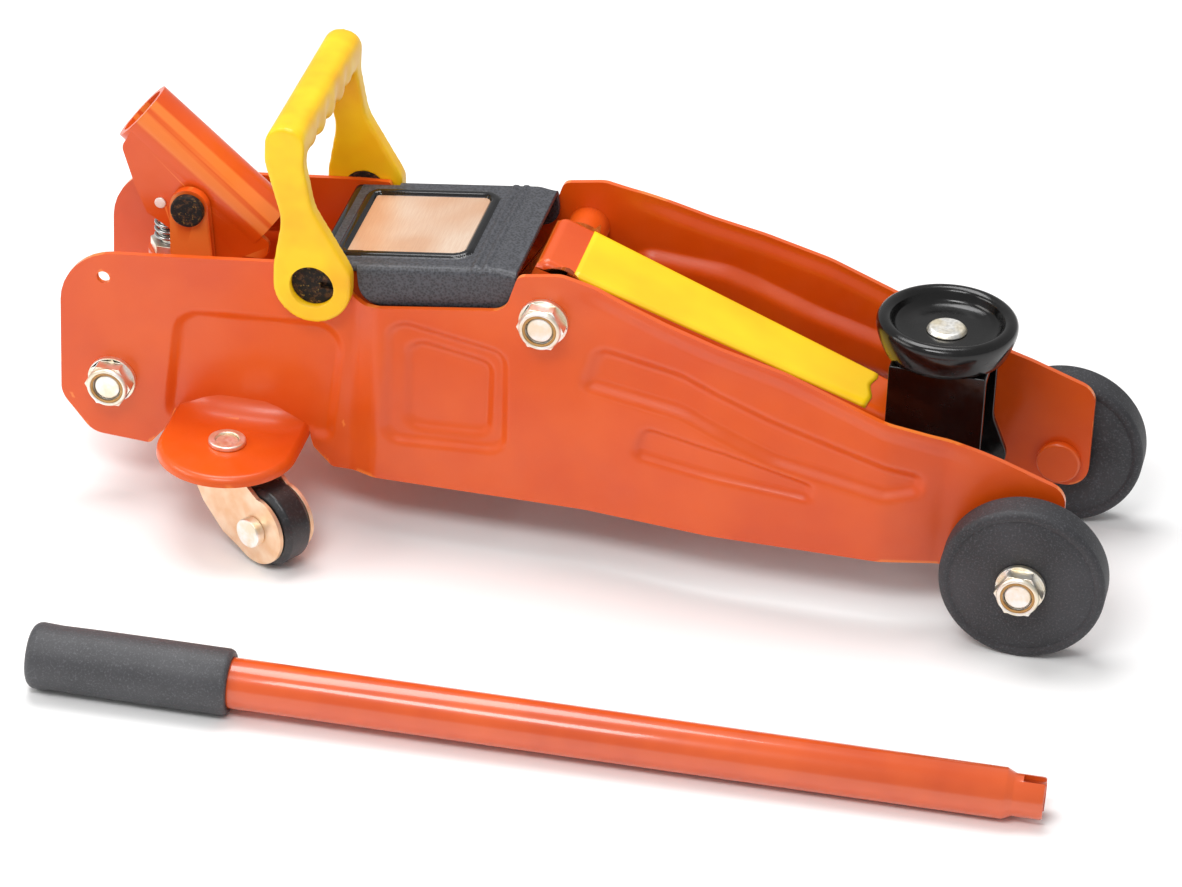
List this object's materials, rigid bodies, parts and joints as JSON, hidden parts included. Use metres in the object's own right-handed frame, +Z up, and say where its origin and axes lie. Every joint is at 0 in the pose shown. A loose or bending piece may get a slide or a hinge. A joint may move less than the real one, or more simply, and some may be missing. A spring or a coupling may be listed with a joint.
{
  "type": "hydraulic trolley jack",
  "caption": "Low hydraulic trolley jack with pressed side plates, lift arm, cupped saddle, front wheels, swivel casters, carry handle and a separate pump bar.",
  "frame": {"origin": "centre of the footprint of the jack and the bar beside it, on the floor", "axes": "+X towards the front wheels and saddle, +Z up, the pump bar lies on the -Y side"},
  "size_m": [0.456, 0.3006, 0.1915],
  "materials": {
    "orange_paint": "satin powder coat",
    "zinc": "bright zinc plate",
    "yellow_zinc": "pale passivated zinc plate",
    "machined_steel": "turned and oiled",
    "ground_steel": "ground",
    "black_paint": "gloss",
    "black_oxide": "rough black oxide",
    "seal_rubber": "matt",
    "black_plastic": "spark-eroded grain",
    "nameplate_foil": "satin foil, blank",
    "yellow_plastic": "moulded",
    "label_film": "printed film, blank",
    "wheel_nylon": "moulded, grained",
    "orange_lacquer": "gloss lacquer",
    "grip_rubber": "moulded, grained"
  },
  "bodies": {
    "frame": {"right_side_plate": "orange_paint", "left_side_plate": "orange_paint", "base_plate": "orange_paint", "front_axle": "zinc", "flange_nuts": "zinc", "shaft_spacers": "zinc", "front_axle_bosses": "orange_paint", "lift_pivot_shaft": "zinc", "rear_tie_rod": "zinc", "rear_tie_tube": "orange_paint", "link_anchor_pins": "zinc", "pump_block": "orange_paint", "plunger_gland": "zinc", "reservoir_tube": "orange_paint", "pressure_cylinder": "machined_steel", "cylinder_cap": "black_paint", "rod_seal": "seal_rubber", "filler_plug": "seal_rubber", "socket_pivot_pins": "black_oxide", "block_screws": "zinc", "top_cover": "black_plastic", "cover_nameplate": "nameplate_foil", "carry_handle_bolts": "black_oxide", "swivel_bolts": "zinc", "swivel_nuts": "zinc", "plunger_spring": "ground_steel"},
    "right_front_wheel": {"right_front_wheel": "wheel_nylon"},
    "left_front_wheel": {"left_front_wheel": "wheel_nylon"},
    "right_caster": {"right_caster_fork": "yellow_zinc", "right_caster_race": "zinc", "right_caster_axle": "zinc"},
    "left_caster": {"left_caster_fork": "yellow_zinc", "left_caster_race": "zinc", "left_caster_axle": "zinc"},
    "right_caster_wheel": {"right_caster_wheel": "wheel_nylon"},
    "left_caster_wheel": {"left_caster_wheel": "wheel_nylon"},
    "lift_arm": {"lift_arm": "orange_paint", "arm_label": "label_film", "crank_pin": "zinc", "saddle_pin": "zinc"},
    "saddle_bracket": {"saddle_bracket": "black_paint", "link_pins": "zinc"},
    "saddle": {"saddle": "black_paint", "saddle_bolt": "zinc", "saddle_nut": "zinc"},
    "right_link": {"right_link": "black_paint"},
    "left_link": {"left_link": "black_paint"},
    "ram": {"ram_rod": "ground_steel", "ram_piston": "machined_steel", "piston_seal": "seal_rubber", "ram_yoke": "machined_steel"},
    "handle_socket": {"handle_socket": "orange_paint", "socket_roller": "machined_steel", "roller_pin": "zinc"},
    "pump_plunger": {"pump_plunger": "ground_steel"},
    "release_screw": {"release_screw": "zinc"},
    "carry_handle": {"carry_handle": "yellow_plastic"},
    "pump_bar": {"bar_tube": "orange_lacquer", "bar_grip": "grip_rubber"}
  },
  "joints": [
    {"name": "lift_arm_pivot", "type": "hinge", "parent": "frame", "child": "lift_arm", "pos_m": [-0.017, 0.05837, 0.116], "axis": [0, -1, 0], "range_deg": [0, 72]},
    {"name": "saddle_bracket_pivot", "type": "hinge", "parent": "lift_arm", "child": "saddle_bracket", "pos_m": [0.143, 0.05837, 0.058], "axis": [0, -1, 0], "range_deg": [-72, 0]},
    {"name": "right_link_pivot", "type": "hinge", "parent": "frame", "child": "right_link", "pos_m": [-0.01, 0.03287, 0.095], "axis": [0, -1, 0], "range_deg": [0, 72]},
    {"name": "left_link_pivot", "type": "hinge", "parent": "frame", "child": "left_link", "pos_m": [-0.01, 0.08387, 0.095], "axis": [0, -1, 0], "range_deg": [0, 72]},
    {"name": "ram_slide", "type": "slide", "parent": "frame", "child": "ram", "axis": [1, 0, 0], "range_m": [0, 0.05291]},
    {"name": "saddle_swivel", "type": "hinge", "parent": "saddle_bracket", "child": "saddle", "pos_m": [0.1454, 0.05837, 0.115], "axis": [0, 0, 1], "continuous": true},
    {"name": "handle_socket_pivot", "type": "hinge", "parent": "frame", "child": "handle_socket", "pos_m": [-0.1777, 0.05837, 0.1304], "axis": [0, 1, 0], "range_deg": [-30, 45]},
    {"name": "plunger_slide", "type": "slide", "parent": "frame", "child": "pump_plunger", "axis": [0, 0, 1], "range_m": [-0.0069, 0.0103], "deforming": ["plunger_spring"]},
    {"name": "release_screw_turn", "type": "hinge", "parent": "frame", "child": "release_screw", "pos_m": [-0.185, 0.07337, 0.072], "axis": [-1, 0, 0], "range_deg": [0, 360]},
    {"name": "carry_handle_pivot", "type": "hinge", "parent": "frame", "child": "carry_handle", "pos_m": [-0.116, 0.05837, 0.118], "axis": [0, 1, 0], "range_deg": [-30, 70]},
    {"name": "right_front_wheel_spin", "type": "hinge", "parent": "frame", "child": "right_front_wheel", "pos_m": [0.193, 0.00237, 0.035], "axis": [0, 1, 0], "continuous": true},
    {"name": "left_front_wheel_spin", "type": "hinge", "parent": "frame", "child": "left_front_wheel", "pos_m": [0.193, 0.11437, 0.035], "axis": [0, 1, 0], "continuous": true},
    {"name": "right_caster_swivel", "type": "hinge", "parent": "frame", "child": "right_caster", "pos_m": [-0.148, -0.00363, 0.042], "axis": [0, 0, 1], "continuous": true},
    {"name": "right_caster_roll", "type": "hinge", "parent": "right_caster", "child": "right_caster_wheel", "pos_m": [-0.12462, -0.01713, 0.018], "axis": [0.5, 0.866, 0], "continuous": true},
    {"name": "left_caster_swivel", "type": "hinge", "parent": "frame", "child": "left_caster", "pos_m": [-0.148, 0.12037, 0.042], "axis": [0, 0, 1], "continuous": true},
    {"name": "left_caster_roll", "type": "hinge", "parent": "left_caster", "child": "left_caster_wheel", "pos_m": [-0.12462, 0.13387, 0.018], "axis": [-0.5, 0.866, 0], "continuous": true},
    {"name": "pump_bar_lift", "type": "slide", "parent": "frame", "child": "pump_bar", "axis": [0, 0, 1], "range_m": [0, 0.05]}
  ],
  "couplings": [
    {"joint": "saddle_bracket_pivot", "follows": "lift_arm_pivot", "ratio": -1},
    {"joint": "right_link_pivot", "follows": "lift_arm_pivot", "ratio": 1},
    {"joint": "left_link_pivot", "follows": "lift_arm_pivot", "ratio": 1},
    {"joint": "ram_slide", "follows": "lift_arm_pivot", "m_per_rad": 0.042097},
    {"joint": "plunger_slide", "follows": "handle_socket_pivot", "m_per_rad": 0.01303}
  ]
}
